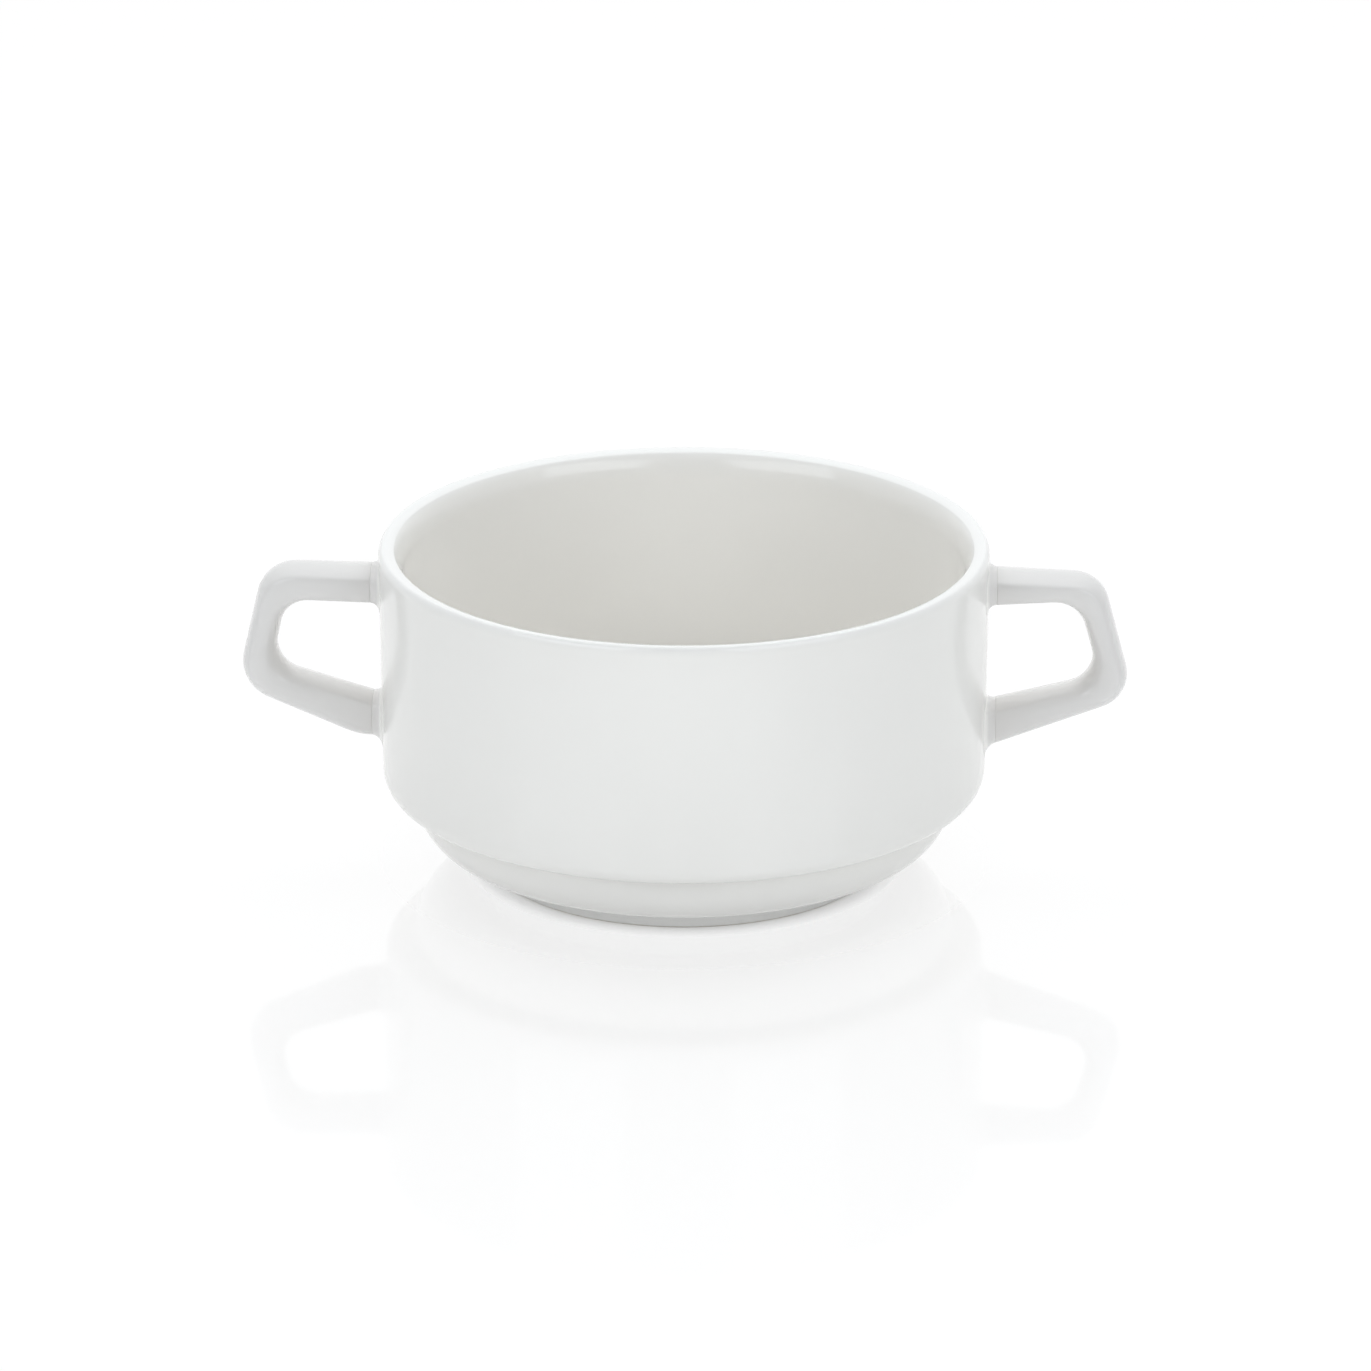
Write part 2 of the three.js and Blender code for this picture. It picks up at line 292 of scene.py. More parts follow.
def turn_profile(name, profile, turns):
    """Extrudes one point along a half profile of radii and heights, then spins it into a closed shell."""
    deselect_all()
    bpy.ops.mesh.primitive_plane_add(size=MM)
    piece = bpy.context.object
    piece.name = name
    bpy.ops.object.mode_set(mode="EDIT")
    bpy.ops.mesh.merge(type="CENTER")
    bpy.ops.transform.translate(value=(profile[0].x, 0, profile[0].y))
    for here, there in zip(profile, profile[1:]):
        step = there - here
        bpy.ops.mesh.extrude_vertices_move(TRANSFORM_OT_translate={"value": (step.x, 0, step.y)})
    bpy.ops.mesh.select_all(action="SELECT")
    bpy.ops.mesh.spin(steps=turns, angle=2 * math.pi, center=(0, 0, 0), axis=(0, 0, 1))
    close_up()
    return piece


def close_up():
    """Merges seams and poles of the piece in edit mode, and turns its faces outwards."""
    bpy.ops.mesh.select_all(action="SELECT")
    bpy.ops.mesh.remove_doubles(threshold=MERGE_GAP)
    bpy.ops.mesh.normals_make_consistent(inside=False)
    bpy.ops.object.mode_set(mode="OBJECT")


class Station(NamedTuple):
    """One section of a strap: middle, tilt, half sizes and share of the way to the lower joint."""

    centre: Vector
    tilt: float
    thick: float
    wide: float
    run: float

    def drawn_in(self, depth):
        """The same section with its skin drawn in."""
        return self._replace(thick=self.thick - depth, wide=self.wide - depth)


def reach_of_face(ahead, aside, bend):
    """How far a ray runs to a face 1 ahead of it that falls back by bend times its sideways run squared."""
    return 2 / (ahead + math.sqrt(ahead * ahead + 4 * bend * aside * aside))


def strap_reach(outwards, aside, handle, run):
    """From a strap's middle to its skin in one direction, in half sizes.

    At the upper joint, where run is 0, crowned faces meet nearly flat edges. Both sides turn round on the
    way to the lower joint, where run is 1, and on the last part of it the inner side turns mostly back.
    """
    thick, wide = abs(outwards), abs(aside)
    if outwards > 0:
        flat, power = handle.outer_share, handle.outer_squareness
        turned = handle.outer_round * run * run
    else:
        flat, power = handle.inner_share, handle.inner_squareness
        fading = handle.inner_round_left + (1 - run) / handle.inner_round_fade
        turned = min(1, run / handle.inner_round_run, fading)
    face = reach_of_face(thick, wide, 1 - flat)
    edge = reach_of_face(wide, thick, handle.edge_bulge / flat**2)
    crisp = (face**-handle.edge_sharpness + edge**-handle.edge_sharpness) ** (-1 / handle.edge_sharpness)
    oval = (thick**power + wide**power) ** (-1 / power)
    return crisp + (oval - crisp) * turned


def start_strap(name):
    """An open ring of unit half sizes, left in edit mode."""
    deselect_all()
    bpy.ops.mesh.primitive_circle_add(vertices=RING_POINTS, radius=1, fill_type="NOTHING")
    piece = bpy.context.object
    piece.name = name
    bpy.ops.object.mode_set(mode="EDIT")
    bpy.ops.mesh.select_all(action="SELECT")
    return piece


def shape_ring(piece, station, handle):
    """Gives the ring that is selected in edit mode the strap's section at a station."""
    centre, tilt, thick, wide, run = station
    ahead = Vector((math.cos(tilt), 0, math.sin(tilt)))
    mesh = bmesh.from_edit_mesh(piece.data)
    for vertex in mesh.verts:
        if vertex.select:
            offset = vertex.co - centre
            outwards, aside = Vector((offset.dot(ahead) / thick, offset.y / wide)).normalized()
            reach = strap_reach(outwards, aside, handle, run)
            vertex.co = centre + ahead * (outwards * reach * thick)
            vertex.co.y += aside * reach * wide
    bmesh.update_edit_mesh(piece.data)


def sweep_strap(piece, stations, handle):
    """Carries the ring in edit mode through the stations of a strap."""
    here = Station(centre=Vector((0, 0, 0)), tilt=0, thick=1, wide=1, run=0)
    for number, station in enumerate(stations):
        if number:
            bpy.ops.mesh.extrude_region_move()
        growth = (station.thick / here.thick, station.wide / here.wide, 1)
        bpy.ops.transform.rotate(value=-here.tilt, orient_axis="Y", center_override=here.centre)
        bpy.ops.transform.resize(value=growth, center_override=here.centre)
        bpy.ops.transform.rotate(value=station.tilt, orient_axis="Y", center_override=here.centre)
        bpy.ops.transform.translate(value=station.centre - here.centre)
        shape_ring(piece, station, handle)
        here = station
    bpy.ops.object.mode_set(mode="OBJECT")


def soften(piece):
    """Subdivides a piece into a smoother one."""
    bpy.context.view_layer.objects.active = piece
    smoother = piece.modifiers.new("soften", "SUBSURF")
    smoother.levels = smoother.render_levels = SOFT_LEVELS
    bpy.ops.object.modifier_apply(modifier=smoother.name)


def cap_ends(piece):
    """Closes the open ends of a strap."""
    bpy.context.view_layer.objects.active = piece
    bpy.ops.object.mode_set(mode="EDIT")
    bpy.ops.mesh.select_all(action="SELECT")
    bpy.ops.mesh.fill_holes(sides=0)
    close_up()


def dress(piece, node, material):
    """Gives a finished piece its glaze and its place in the frame."""
    pick(piece)
    bpy.ops.object.transform_apply(location=True, rotation=True, scale=True)
    bpy.ops.object.shade_smooth()
    piece.data.materials.clear()
    piece.data.materials.append(material)
    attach(piece, "root")
    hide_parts(node)


# Glaze

# Noises, by their count of swells in a metre, and the finer detail of two
DRIFT_SCALE = 34.0
GLOSS_SCALE = 160.0
SWELL_SCALE = 75.0
PEEL_SCALE, PEEL_DETAIL = 900.0, 3.0
GRAIN_SCALE, GRAIN_DETAIL = 2600.0, 4.0
RAGGED_SCALE = 420.0

# The range of noise that counts, and how far it changes the colours and the gloss
NOISE_LOW, NOISE_HIGH = 0.3, 0.7
GLOSS_NOISE_LOW, GLOSS_NOISE_HIGH = 0.25, 0.75
DRIFT_GAIN = 1.012
GRAIN_GAIN = 0.9
SMOOTHEST, ROUGHEST = 0.8, 1.25

# Unevenness of the glaze's skin
SWELL_STRENGTH, SWELL_DEPTH = 0.25, 0.15 * MM
PEEL_STRENGTH, PEEL_DEPTH = 0.12, 0.02 * MM

# Where the glaze pools and shade is painted under the step, thins and light is painted at the lip, stops
# above the table, and fades to the handles' painted shade on the slip
POOL_RADIUS = 51 * MM
POOL_EDGE = 1 * MM
POOL_REACH = 1.1 * MM
THIN_LIP = 1.6 * MM
BARE_LOW, BARE_HIGH, BARE_RAGGED = 0.12 * MM, 0.24 * MM, 0.25 * MM
SLIP_FADE = 0.3 * MM


class Nodes:
    """Short words for adding and linking shader nodes."""

    # Numbers of the colour sockets of a Mix node, which has others of the same names
    MIX_FIRST, MIX_SECOND, MIX_RESULT = 6, 7, 2

    def __init__(self, tree):
        self.tree = tree
        tree.nodes.clear()

    def add(self, kind, sockets, **values):
        """A node with settings by name and inputs by socket name or number."""
        node = self.tree.nodes.new("ShaderNode" + kind)
        for name, value in values.items():
            setattr(node, name, value)
        for socket, value in sockets.items():
            if isinstance(value, bpy.types.NodeSocket):
                self.tree.links.new(value, node.inputs[socket])
            else:
                node.inputs[socket].default_value = value
        return node.outputs

    def place(self):
        """Where a point of the skin lies in the frame."""
        return self.add("TexCoord", {})["Object"]

    def math(self, operation, first, second=0.0):
        """One sum."""
        return self.add("Math", {0: first, 1: second}, operation=operation)[0]

    def ramp(self, value, low, high, to_low=0.0, to_high=1.0):
        """A smooth step of value from low to high."""
        sockets = {"Value": value, "From Min": low, "From Max": high, "To Min": to_low, "To Max": to_high}
        return self.add("MapRange", sockets, interpolation_type="SMOOTHSTEP")["Result"]

    def near(self, value, middle, reach):
        """1 at middle, falling to 0 at reach from it."""
        gap = self.math("ABSOLUTE", self.math("SUBTRACT", value, middle))
        return self.ramp(gap, 0.0, reach, 1.0, 0.0)

    def mix(self, part, first, second):
        """One colour over another."""
        sockets = {0: part, self.MIX_FIRST: first, self.MIX_SECOND: second}
        return self.add("Mix", sockets, data_type="RGBA")[self.MIX_RESULT]

    def noise(self, place, scale, detail=2.0):
        """Smooth noise of one size."""
        return self.add("TexNoise", {"Vector": place, "Scale": scale, "Detail": detail})["Fac"]

    def bump(self, height, strength, depth, below=None):
        """Normals of an uneven skin, over those of another one below."""
        sockets = {"Strength": strength, "Distance": depth, "Height": height}
        if below is not None:
            sockets["Normal"] = below
        return self.add("Bump", sockets)["Normal"]

    def blend(self, part, first, second):
        """One shader over another."""
        return self.add("MixShader", {0: part, 1: first, 2: second})[0]

    def glow(self, strength):
        """White light of its own."""
        return self.add("Emission", {"Color": WHITE, "Strength": strength})[0]


def rgba(value, gain=1.0):
    """A colour setting times gain, as four numbers."""
    return (*(gain * part for part in value), 1.0)


def glaze_material(name, look, glaze, tints=(), bare=None):
    """Clear gloss over white clay.

    tints are colours with their masks, and bare is the mask of the unglazed clay.
    """
    material = bpy.data.materials.new(name)
    material.use_nodes = True
    nodes = Nodes(material.node_tree)
    place = nodes.place()
    drift = nodes.ramp(nodes.noise(place, DRIFT_SCALE), NOISE_LOW, NOISE_HIGH)
    body = nodes.mix(drift, rgba(glaze), rgba(glaze, DRIFT_GAIN))
    for tint, mask in tints:
        body = nodes.mix(mask(nodes, place), body, rgba(tint))
    smooth, rough = look.gloss_roughness * SMOOTHEST, look.gloss_roughness * ROUGHEST
    gloss = nodes.ramp(nodes.noise(place, GLOSS_SCALE), GLOSS_NOISE_LOW, GLOSS_NOISE_HIGH, smooth, rough)
    if bare:
        bare_share = bare(nodes, place)
        grain = nodes.ramp(nodes.noise(place, GRAIN_SCALE, GRAIN_DETAIL), NOISE_LOW, NOISE_HIGH)
        clay = nodes.mix(grain, rgba(look.bare_clay), rgba(look.bare_clay, GRAIN_GAIN))
        body = nodes.mix(bare_share, body, clay)
        gloss = nodes.math("MAXIMUM", gloss, nodes.math("MULTIPLY", bare_share, look.clay_roughness))
    swell = nodes.bump(nodes.noise(place, SWELL_SCALE), SWELL_STRENGTH, SWELL_DEPTH)
    peel = nodes.bump(nodes.noise(place, PEEL_SCALE, PEEL_DETAIL), PEEL_STRENGTH, PEEL_DEPTH, swell)
    shader = nodes.add("BsdfPrincipled", {"Base Color": body, "Roughness": gloss, "Normal": peel})
    nodes.add("OutputMaterial", {"Surface": shader["BSDF"]})
    return material


def radius_and_height(nodes, place):
    """Distance from the bowl's axis and height above the table."""
    split = nodes.add("SeparateXYZ", {"Vector": place})
    across = nodes.math("MULTIPLY", split["X"], split["X"])
    along = nodes.math("MULTIPLY", split["Y"], split["Y"])
    return nodes.math("SQRT", nodes.math("ADD", across, along)), split["Z"]


def shell_glaze(shell, look):
    """Glaze of the turned shell: darker under the step, where glaze pools and shade is painted; lighter at
    lip and foot, where glaze runs thin and light is painted; bare where it stands.
    """

    # Mask of the crease under the step, where glaze pools and shade is painted
    def pooled_and_painted_shade(nodes, place):
        radius, height = radius_and_height(nodes, place)
        outside = nodes.ramp(radius, FOOT_RADIUS, FOOT_RADIUS + POOL_EDGE)
        inner_part = nodes.ramp(radius, POOL_RADIUS - POOL_EDGE, POOL_RADIUS, 1.0, 0.0)
        under_step = nodes.near(height, ledge_height(shell) - shell.crease, POOL_REACH)
        return nodes.math("MULTIPLY", nodes.math("MULTIPLY", outside, inner_part), under_step)

    # Mask of the lip and the foot ring, where the lighter glaze is also painted light
    def thin(nodes, place):
        height = radius_and_height(nodes, place)[1]
        at_lip = nodes.ramp(height, shell.height - THIN_LIP, shell.height)
        at_foot = nodes.ramp(height, shell.foot_height - shell.foot_fillet, shell.foot_height, 1.0, 0.0)
        return nodes.math("MAXIMUM", at_lip, at_foot)

    def bare(nodes, place):
        height = radius_and_height(nodes, place)[1]
        ragged = nodes.math("MULTIPLY", nodes.noise(place, RAGGED_SCALE), BARE_RAGGED)
        return nodes.ramp(nodes.math("SUBTRACT", height, ragged), BARE_LOW, BARE_HIGH, 1.0, 0.0)

    tints = ((look.thin_glaze_and_painted_light, thin), (look.pooled_glaze_and_painted_shade, pooled_and_painted_shade))
    return glaze_material("shell_glaze", look, look.glaze, tints, bare)


def slip_glaze(look):
    """Glaze over the slip, with the handles' greyer glaze of painted shade at the seam and the bowl's at the
    wall.
    """

    def near_seam(nodes, place):
        reach = nodes.math("ABSOLUTE", nodes.add("SeparateXYZ", {"Vector": place})["X"])
        return nodes.ramp(reach, SHELL_HIGH.x - SLIP_FADE, SHELL_HIGH.x + SLIP_FADE)

    return glaze_material("slip_glaze", look, look.glaze, ((look.strap_glaze_painted_shade, near_seam),))


# The shell

# Steps along each stretch of the profile
FLOOR_STEPS = 6
EDGE_STEPS = 6
FOOT_STEPS = 4
FLAT_STEPS = 3
BAND_STEPS = 18
SHOULDER_STEPS = 14
WALL_STEPS = 14
LIP_STEPS = 12
CROWN_STEPS = 10
FLARE_STEPS = 14
INSIDE_STEPS = 8
CURVE_STEPS = 26


def ledge_height(shell):
    """Height of the step's underside."""
    return shell.foot_height + shell.band_height


def wall_ends(shell):
    """Heights of the foot and of the top of the straight wall."""
    return ledge_height(shell) + shell.shoulder_height, shell.height - shell.lip_outer_drop


def foot_profile(shell, top):
    """From the middle of the underside round the foot ring, whose radius is top where it meets the body."""
    outer = top - shell.foot_draft
    inner = outer - shell.foot_width
    hollow = inner - shell.recess_fillet
    fillet_height = shell.foot_height - shell.foot_fillet
    recess = (shell.recess_fillet, shell.recess_fillet)
    edge = (shell.foot_edge, shell.foot_edge)
    fillet = (shell.foot_fillet, shell.foot_fillet)
    profile = line((0, shell.foot_recess), (hollow, shell.foot_recess), FLOOR_STEPS)
    profile += arc((hollow, shell.foot_recess - shell.recess_fillet), recess, UP, OUT, EDGE_STEPS)
    profile += arc((inner + shell.foot_edge, shell.foot_edge), edge, IN, DOWN, EDGE_STEPS)
    profile += arc((outer - shell.foot_edge, shell.foot_edge), edge, DOWN, OUT_AGAIN, EDGE_STEPS)
    profile += line((outer, shell.foot_edge), (top, fillet_height), FOOT_STEPS)[1:]
    return profile + arc((top + shell.foot_fillet, fillet_height), fillet, IN, UP, EDGE_STEPS)


def outside_profile(shell):
    """From the middle of the underside over foot, band, step and wall to the highest line of the lip."""
    wall_foot = shell.rim_radius - shell.wall_taper
    step = wall_foot - shell.shoulder_inset
    band_top = step - shell.ledge
    band_foot = band_top - shell.band_inset
    foot_top = band_foot - shell.undercut
    foot_corner = foot_top + shell.foot_fillet
    ledge = ledge_height(shell)
    crease_height = ledge - shell.crease
    crease_edge = band_top + shell.crease
    wall_low, wall_high = wall_ends(shell)
    crease = (shell.crease, shell.crease)
    band = (shell.band_inset, crease_height - shell.foot_height)
    shoulder = (shell.shoulder_inset, shell.shoulder_height)
    lip = (shell.lip_outer_round, shell.lip_outer_drop)
    profile = foot_profile(shell, foot_top)
    profile += line((foot_corner, shell.foot_height), (band_foot, shell.foot_height), FLAT_STEPS)[1:]
    profile += arc((band_foot, crease_height), band, DOWN, OUT_AGAIN, BAND_STEPS)
    profile += arc((crease_edge, crease_height), crease, IN, UP, EDGE_STEPS)[1:]
    profile += line((crease_edge, ledge), (step, ledge), FLAT_STEPS)[1:]
    profile += arc((step, wall_low), shoulder, DOWN, OUT_AGAIN, SHOULDER_STEPS)
    profile += line((wall_foot, wall_low), (shell.rim_radius, wall_high), WALL_STEPS)[1:]
    return profile + arc((shell.rim_radius - shell.lip_outer_round, wall_high), lip, OUT, UP, LIP_STEPS)


def inside_profile(shell, lip_top):
    """From the highest line of the lip over its inner edge, flare and wall to the middle of the floor."""
    wall_foot = shell.rim_radius - shell.wall - shell.inside_taper
    floor_edge = wall_foot - shell.inside_curve_radius
    floor_height = shell.foot_recess + shell.floor
    curve_top = floor_height + shell.inside_curve_height
    radii = (shell.inside_curve_radius, shell.inside_curve_height)
    lean, flare = UP + math.degrees(shell.lip_lean), IN - math.degrees(shell.flare_lean)
    profile = go_on(lip_top, shell.lip_crown, UP, lean, CROWN_STEPS)
    profile += go_on(profile[-1], shell.lip_edge, lean, flare, EDGE_STEPS)
    flare_width = profile[-1].x - (shell.rim_radius - shell.wall)
    flare_radius = flare_width / (1 - math.cos(shell.flare_lean))
    profile += go_on(profile[-1], flare_radius, flare, IN, FLARE_STEPS)
    wall_top = profile[-1]
    slope = (wall_top.x - wall_foot) / (wall_top.y - curve_top)
    in_line = -math.degrees(math.atan(slope * shell.inside_curve_height / shell.inside_curve_radius))
    curve = arc((floor_edge, curve_top), radii, in_line, DOWN - OUT_AGAIN, CURVE_STEPS)
    profile += line(wall_top, curve[0], INSIDE_STEPS)[1:] + curve
    profile += line((floor_edge, floor_height), (0, floor_height), FLOOR_STEPS)[1:]
    return profile + [Vector((0, floor_height))]


class HANDLEDBOWL_OT_turn_shell(Operator):
    """Turn the bowl's shell on its axis"""

    bl_idname = "handledbowl.turn_shell"
    bl_label = "Turn Shell"

    def execute(self, context):
        settings = context.scene.handled_bowl
        outside = outside_profile(settings.shell)
        profile = outside + inside_profile(settings.shell, outside[-1])
        piece = turn_profile("turned_shell", profile, settings.shell.turns)
        dress(piece, "bowl_shell", shell_glaze(settings.shell, settings.look))
        return {"FINISHED"}


# The handles

# Steps along each stretch of a handle's outline
UPPER_ARM_STEPS = 8
LEG_STEPS = 5
LOWER_ARM_STEPS = 9
BEND_STEPS = 14


def crossing(first, second):
    """Where two lines meet, each given by two points."""
    (a, b), (c, d) = first, second
    run, other = b - a, d - c
    return a + run * ((c - a).cross(other) / run.cross(other))


def inset_line(start, stop, at_start, at_stop):
    """The line to the right of start to stop, at these distances from its ends."""
    run = (stop - start).normalized()
    side = Vector((run.y, -run.x))
    return start + side * at_start, stop + side * at_stop


def rounded(before, corner, after, radius):
    """Points of the round that replaces a corner."""
    inward, outward = (before - corner).normalized(), (after - corner).normalized()
    half = inward.angle(outward) / 2
    middle = corner + (inward + outward).normalized() * (radius / math.sin(half))
    first = corner + inward * (radius / math.tan(half)) - middle
    sweep = first.angle_signed(corner + outward * (radius / math.tan(half)) - middle)
    points = []
    for i in range(BEND_STEPS + 1):
        turn = -sweep * i / BEND_STEPS
        cos, sin = math.cos(turn), math.sin(turn)
        points.append(middle + Vector((first.x * cos - first.y * sin, first.x * sin + first.y * cos)))
    return points


def round_loop(points, rounds):
    """One open outline of three straight runs and two rounds, always with the same count of points."""
    start, corner, knuckle, end = points
    first = rounded(start, corner, knuckle, rounds[0])
    second = rounded(corner, knuckle, end, rounds[1])
    outline = line(start, first[0], UPPER_ARM_STEPS) + first
    outline += line(first[-1], second[0], LEG_STEPS)[1:] + second
    return outline + line(second[-1], end, LOWER_ARM_STEPS)[1:] + [end]


def handle_outline(handle, side):
    """Matching points on the outer and inner outline of one handle, from upper to lower joint."""
    top = Vector((SEAM_X, handle.top_at_joint[side]))
    corner = Vector((handle.corner_reach[side], handle.corner_height[side]))
    knuckle = Vector((handle.knuckle_reach[side], handle.knuckle_height[side]))
    bottom = Vector((SEAM_X, handle.bottom_at_joint[side]))
    upper = inset_line(top, corner, handle.upper_arm_at_joint[side], handle.upper_arm_at_corner[side])
    leg = inset_line(corner, knuckle, handle.leg_at_corner[side], handle.leg_at_knuckle[side])
    lower = inset_line(knuckle, bottom, handle.lower_arm_at_knuckle[side], handle.lower_arm_at_joint[side])
    seam = (top, bottom)
    inner = (crossing(upper, seam), crossing(upper, leg), crossing(leg, lower), crossing(lower, seam))
    outer_rounds = (handle.corner_outer_round[side], handle.knuckle_outer_round[side])
    inner_rounds = (handle.corner_inner_round[side], handle.knuckle_inner_round[side])
    outer_line = round_loop((top, corner, knuckle, bottom), outer_rounds)
    inner_line = round_loop(inner, inner_rounds)
    for point in outer_line[len(outer_line) // 2 :]:
        levelled = max(0, 1 - (point.x - SEAM_X) / handle.level_run)
        point.y += handle.level_rise[side] * levelled * levelled
    return list(zip(outer_line, inner_line))


def strap_station(outer, inner, half_width, run):
    """The section of a strap between two outline points."""
    across = outer - inner
    middle = (outer + inner) / 2
    tilt = math.atan2(across.y, across.x)
    return Station(Vector((middle.x, 0, middle.y)), tilt, across.length / 2, half_width, run)


def strap_stations(handle, side):
    """Stations of one handle from the upper joint to the lower one, on the side of +X."""
    pairs = handle_outline(handle, side)
    middles = [(outer + inner) / 2 for outer, inner in pairs]
    steps = [(there - here).length for here, there in zip(middles, middles[1:])]
    first, last = handle.upper_width[side] / 2, handle.lower_width[side] / 2
    stations = []
    for number, (outer, inner) in enumerate(pairs):
        run = sum(steps[:number]) / sum(steps)
        stations.append(strap_station(outer, inner, first + (last - first) * run, run))
    return stations


def seam_stations(end, beside, handle):
    """The end of a strap, drawn in to the depth of its seam and back to full size."""
    along = (beside.centre - end.centre).normalized()
    return [end.drawn_in(handle.seam_depth), end._replace(centre=end.centre + along * handle.seam_width)]


def pull_handle(handle, side):
    """One handle as a strap carried along its loop, on the side of +X."""
    stations = strap_stations(handle, side)
    first = seam_stations(stations[0], stations[1], handle)
    last = seam_stations(stations[-1], stations[-2], handle)
    piece = start_strap(SIDES[side] + "_pulled_handle")
    sweep_strap(piece, first + stations[1:-1] + last[::-1], handle)
    soften(piece)
    cap_ends(piece)
    return piece


def to_side(piece, side):
    """Turns a piece made on the side of +X to its own side."""
    if SIDES[side] == "left":
        pick(piece)
        bpy.ops.transform.rotate(value=math.pi, orient_axis="Z", center_override=(0, 0, 0))
        bpy.ops.object.transform_apply(location=True, rotation=True, scale=True)


class HANDLEDBOWL_OT_pull_handles(Operator):
    """Pull the two loop handles"""

    bl_idname = "handledbowl.pull_handles"
    bl_label = "Pull Handles"

    def execute(self, context):
        settings = context.scene.handled_bowl
        # The handles are glazed with the greyer copy, as painted shade
        material = glaze_material("handle_glaze_painted_shade", settings.look, settings.look.strap_glaze_painted_shade)
        for side, name in enumerate(SIDES):
            piece = pull_handle(settings.handle, side)
            to_side(piece, side)
            dress(piece, name + "_handle", material)
        return {"FINISHED"}


# The slip joints

SLIP_STEPS = 10


def wall_radius(shell, height):
    """Outside radius of the wall at a height above the shoulder."""
    low, high = wall_ends(shell)
    return shell.rim_radius - shell.wall_taper * (high - height) / (high - low)


def slip_stations(shell, handle, side, level):
    """The slip's stations from the strap's end to the wall, spreading in a hollow round."""
    strap = strap_stations(handle, side)
    if level == "lower":
        strap.reverse()
    end, beside = strap[:2]
    inwards = (end.centre - beside.centre) / abs(end.centre.x - beside.centre.x)
    depth = SEAM_X - wall_radius(shell, end.centre.z) + handle.slip_sink
    stations = [end.drawn_in(handle.seam_depth)]
    for i in range(1, SLIP_STEPS + 1):
        turn = math.radians(90 * i / SLIP_STEPS)
        spread = handle.slip_flare * (1 - math.cos(turn))
        place = end.centre + inwards * (depth * math.sin(turn))
        stations.append(end.drawn_in(-spread)._replace(centre=place))
    return stations


def lay_on_wall(piece, shell):
    """Wraps a slip joint's flat rings round the wall, none of it at the seam and all of it at the wall."""
    for vertex in piece.data.vertices:
        across, along, height = vertex.co
        wall = wall_radius(shell, height)
        reach = (SEAM_X - across) / (SEAM_X - wall)
        vertex.co.x -= reach * (wall - math.sqrt(wall * wall - along * along))


class HANDLEDBOWL_OT_lay_slip_joints(Operator):
    """Lay the slip that holds each arm to the wall"""

    bl_idname = "handledbowl.lay_slip_joints"
    bl_label = "Lay Slip Joints"

    def execute(self, context):
        settings = context.scene.handled_bowl
        shell, handle = settings.shell, settings.handle
        material = slip_glaze(settings.look)
        for side, side_name in enumerate(SIDES):
            for level in LEVELS:
                name = f"{side_name}_{level}_slip"
                piece = start_strap(name + "_fillet")
                sweep_strap(piece, slip_stations(shell, handle, side, level), handle)
                soften(piece)
                lay_on_wall(piece, shell)
                cap_ends(piece)
                to_side(piece, side)
                dress(piece, name + "_joint", material)
        return {"FINISHED"}


# The stage

# Places and sizes of the lamp panels in metres, those in front on the right
BACK_PLACE, BACK_SIZE = (0, 1.25, 0.85), (3.0, 1.6)
TOP_PLACE, TOP_SIZE = (0, 0.6, 1.12), (1.8, 0.8)
FRONT_PLACE, FRONT_SIZE = (0.7, -0.78, 0.65), (0.9, 0.55)
LOW_PLACE, LOW_SIZE = (0.85, -0.85, 0.22), (1.05, 0.36)
LAMP_AIM = Vector((0, 0, 30 * MM))

SENSOR_WIDTH = 36
FARTHEST_SEEN = 100


def seen_rays(nodes):
    """1 for rays that show the background, straight or in a gloss or glass."""
    path = nodes.add("LightPath", {})
    straight = nodes.math("MAXIMUM", path["Is Camera Ray"], path["Is Glossy Ray"])
    return nodes.math("MAXIMUM", straight, path["Is Transmission Ray"])


def white_world(stage):
    """Even light all around that shows as white."""
    world = bpy.data.worlds.new("white_room")
    world.use_nodes = True
    nodes = Nodes(world.node_tree)
    light = nodes.add("Background", {"Color": rgba(stage.lamp_colour), "Strength": stage.ambient})[0]
    shown = nodes.add("Background", {"Color": WHITE, "Strength": 1.0})[0]
    nodes.add("OutputWorld", {"Surface": nodes.blend(seen_rays(nodes), light, shown)})
    bpy.context.scene.world = world


def floor_paper(stage):
    """White paper that keeps the bowl's shadow and a faint mirror image close to it."""
    material = bpy.data.materials.new("floor_paper")
    material.use_nodes = True
    nodes = Nodes(material.node_tree)
    radius = radius_and_height(nodes, nodes.place())[0]
    paper = nodes.add("BsdfDiffuse", {"Color": rgba(stage.floor_colour)})[0]
    mirror = nodes.add("BsdfGlossy", {"Color": WHITE, "Roughness": stage.mirror_roughness})[0]
    shaded = nodes.add("AddShader", {0: paper, 1: nodes.glow(stage.shadow_lift)})[0]
    broad = nodes.ramp(radius, stage.shadow_near, stage.shadow_far, stage.shadow_share, 0.0)
    contact = nodes.ramp(radius, FOOT_RADIUS, FOOT_RADIUS + stage.contact_reach, stage.contact_share, 0.0)
    sheet = nodes.blend(nodes.math("MAXIMUM", broad, contact), nodes.glow(1.0), shaded)
    shine = nodes.ramp(radius, stage.mirror_near, stage.mirror_far, stage.mirror_share, 0.0)
    shown = nodes.blend(seen_rays(nodes), paper, nodes.blend(shine, sheet, mirror))
    nodes.add("OutputMaterial", {"Surface": shown})
    return material


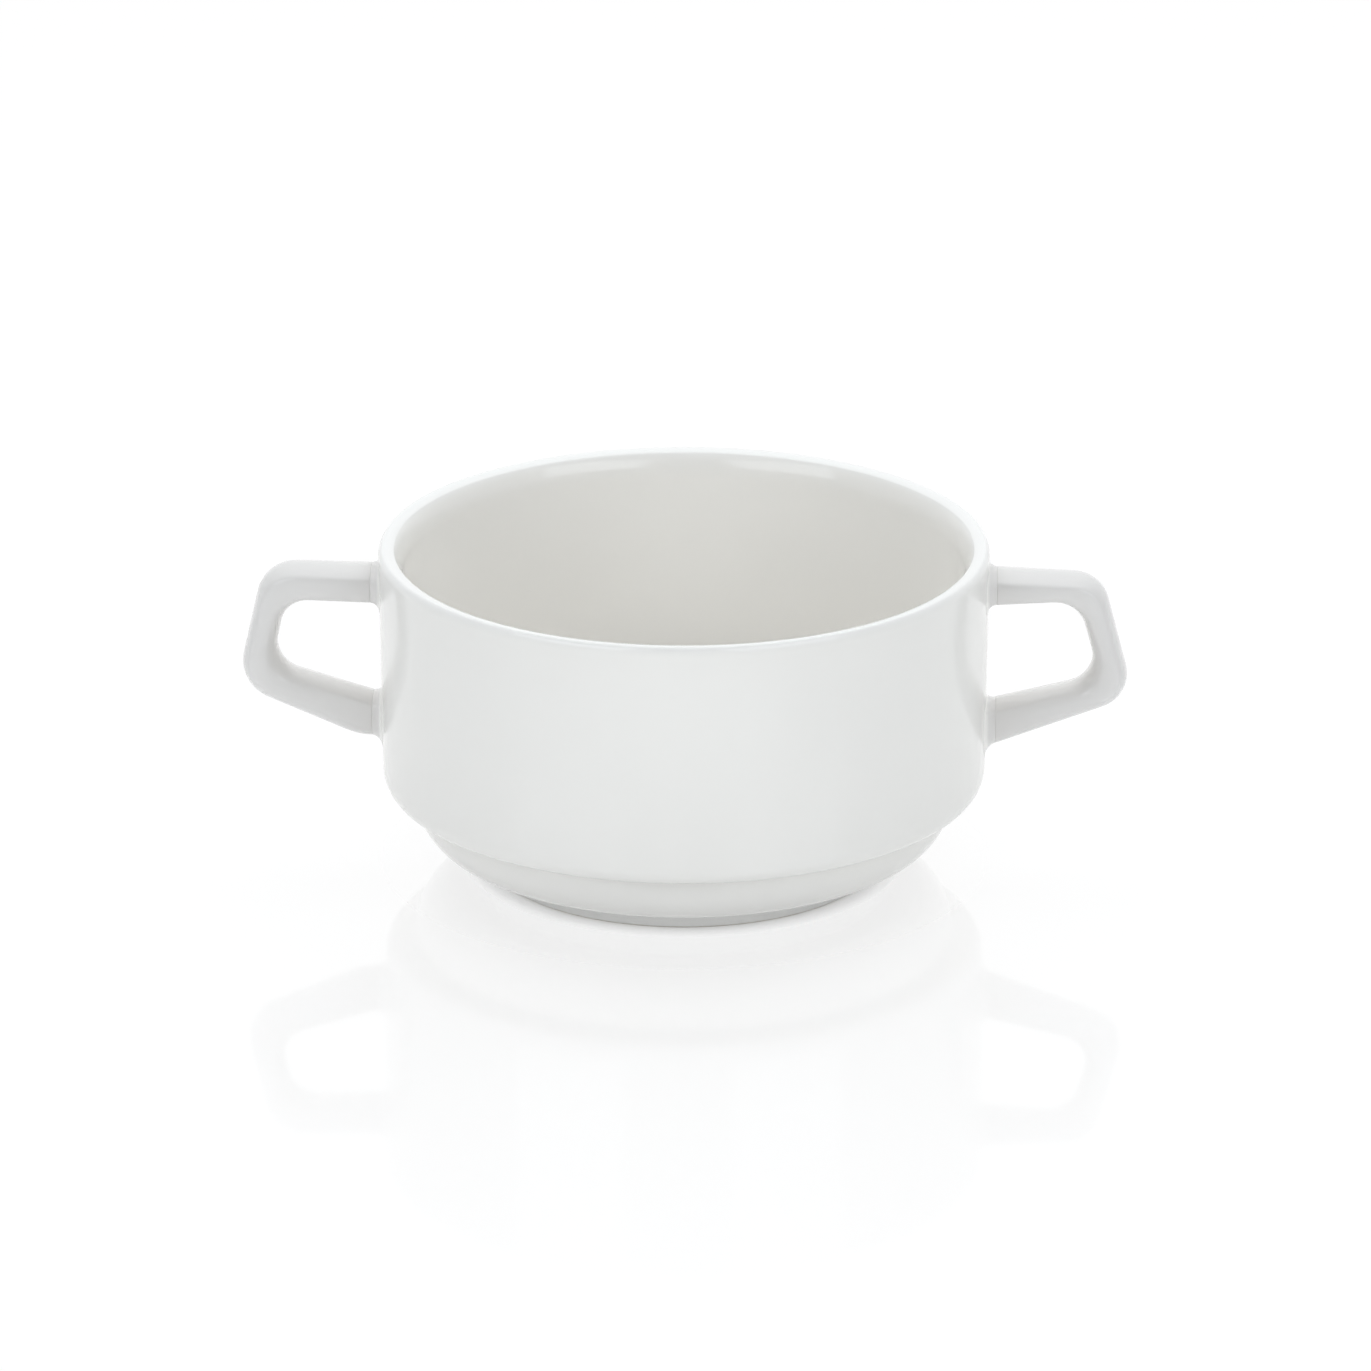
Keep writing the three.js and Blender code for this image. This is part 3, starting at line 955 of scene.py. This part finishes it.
def add_panel_light(name, place, size, radiance, tint, mirrored=False):
    """A soft panel that faces the bowl, and shows in its gloss if mirrored."""
    aim = LAMP_AIM - Vector(place)
    bpy.ops.object.light_add(type="AREA", location=place, rotation=aim.to_track_quat("-Z", "Y").to_euler())
    lamp = bpy.context.object
    lamp.name = name
    lamp.visible_camera = False
    lamp.visible_glossy = mirrored
    lamp.data.shape = "RECTANGLE"
    lamp.data.size, lamp.data.size_y = size
    lamp.data.color = tint
    lamp.data.energy = radiance * math.pi * size[0] * size[1]


def set_lamps(stage):
    """A panel behind, one above, and two in front on either side."""
    tint = stage.lamp_colour
    add_panel_light("back_panel", BACK_PLACE, BACK_SIZE, stage.back_light, tint)
    for side, sign in (("left", -1), ("right", 1)):
        front, low = [(sign * x, y, z) for x, y, z in (FRONT_PLACE, LOW_PLACE)]
        add_panel_light(side + "_front_panel", front, FRONT_SIZE, stage.front_light, tint, mirrored=True)
        add_panel_light(side + "_low_panel", low, LOW_SIZE, stage.low_light, tint)
    add_panel_light("top_panel", TOP_PLACE, TOP_SIZE, stage.top_light, tint)


def set_camera(stage):
    """The camera where the photograph was taken from."""
    turn, pitch = stage.camera_azimuth, stage.camera_pitch
    sideways = Vector((math.cos(turn), math.sin(turn), 0))
    ahead = Vector((-math.sin(turn) * math.cos(pitch), math.cos(turn) * math.cos(pitch), -math.sin(pitch)))
    aim = sideways * stage.camera_offset + Vector((0, 0, stage.camera_height))
    place = aim - ahead * stage.camera_distance
    bpy.ops.object.camera_add(location=place, rotation=(math.pi / 2 - pitch, 0, turn))
    camera = bpy.context.object
    camera.data.lens = stage.focal_length
    camera.data.sensor_fit = "HORIZONTAL"
    camera.data.sensor_width = SENSOR_WIDTH
    camera.data.clip_end = FARTHEST_SEEN
    bpy.context.scene.camera = camera


class HANDLEDBOWL_OT_set_stage(Operator):
    """Set the floor, the lamps and the camera"""

    bl_idname = "handledbowl.set_stage"
    bl_label = "Set Stage"

    def execute(self, context):
        stage = context.scene.handled_bowl.stage
        deselect_all()
        bpy.ops.mesh.primitive_plane_add(size=stage.floor_size)
        floor = context.object
        floor.name = "floor"
        floor.data.materials.append(floor_paper(stage))
        white_world(stage)
        set_lamps(stage)
        set_camera(stage)
        context.scene.view_settings.view_transform = "Standard"
        return {"FINISHED"}


# The add-on


class HANDLEDBOWL_PT_panel(Panel):
    """The bowl's steps in the sidebar."""

    bl_idname = "HANDLEDBOWL_PT_panel"
    bl_label = "Handled Bowl"
    bl_space_type = "VIEW_3D"
    bl_region_type = "UI"
    bl_category = "Handled Bowl"

    def draw(self, context):
        for step in STEPS:
            self.layout.operator(step.bl_idname)


STEPS = (
    HANDLEDBOWL_OT_turn_shell,
    HANDLEDBOWL_OT_pull_handles,
    HANDLEDBOWL_OT_lay_slip_joints,
    HANDLEDBOWL_OT_set_stage,
)
CLASSES = (
    ShellSizes,
    HandleSizes,
    GlazeLook,
    StageSettings,
    HandledBowlSettings,
    *STEPS,
    HANDLEDBOWL_PT_panel,
)


def register():
    for cls in CLASSES:
        bpy.utils.register_class(cls)
    bpy.types.Scene.handled_bowl = PointerProperty(type=HandledBowlSettings)


def unregister():
    del bpy.types.Scene.handled_bowl
    for cls in reversed(CLASSES):
        bpy.utils.unregister_class(cls)


def main():
    register()
    bpy.ops.handledbowl.turn_shell()
    bpy.ops.handledbowl.pull_handles()
    bpy.ops.handledbowl.lay_slip_joints()
    bpy.ops.handledbowl.set_stage()


if __name__ == "__main__":
    main()
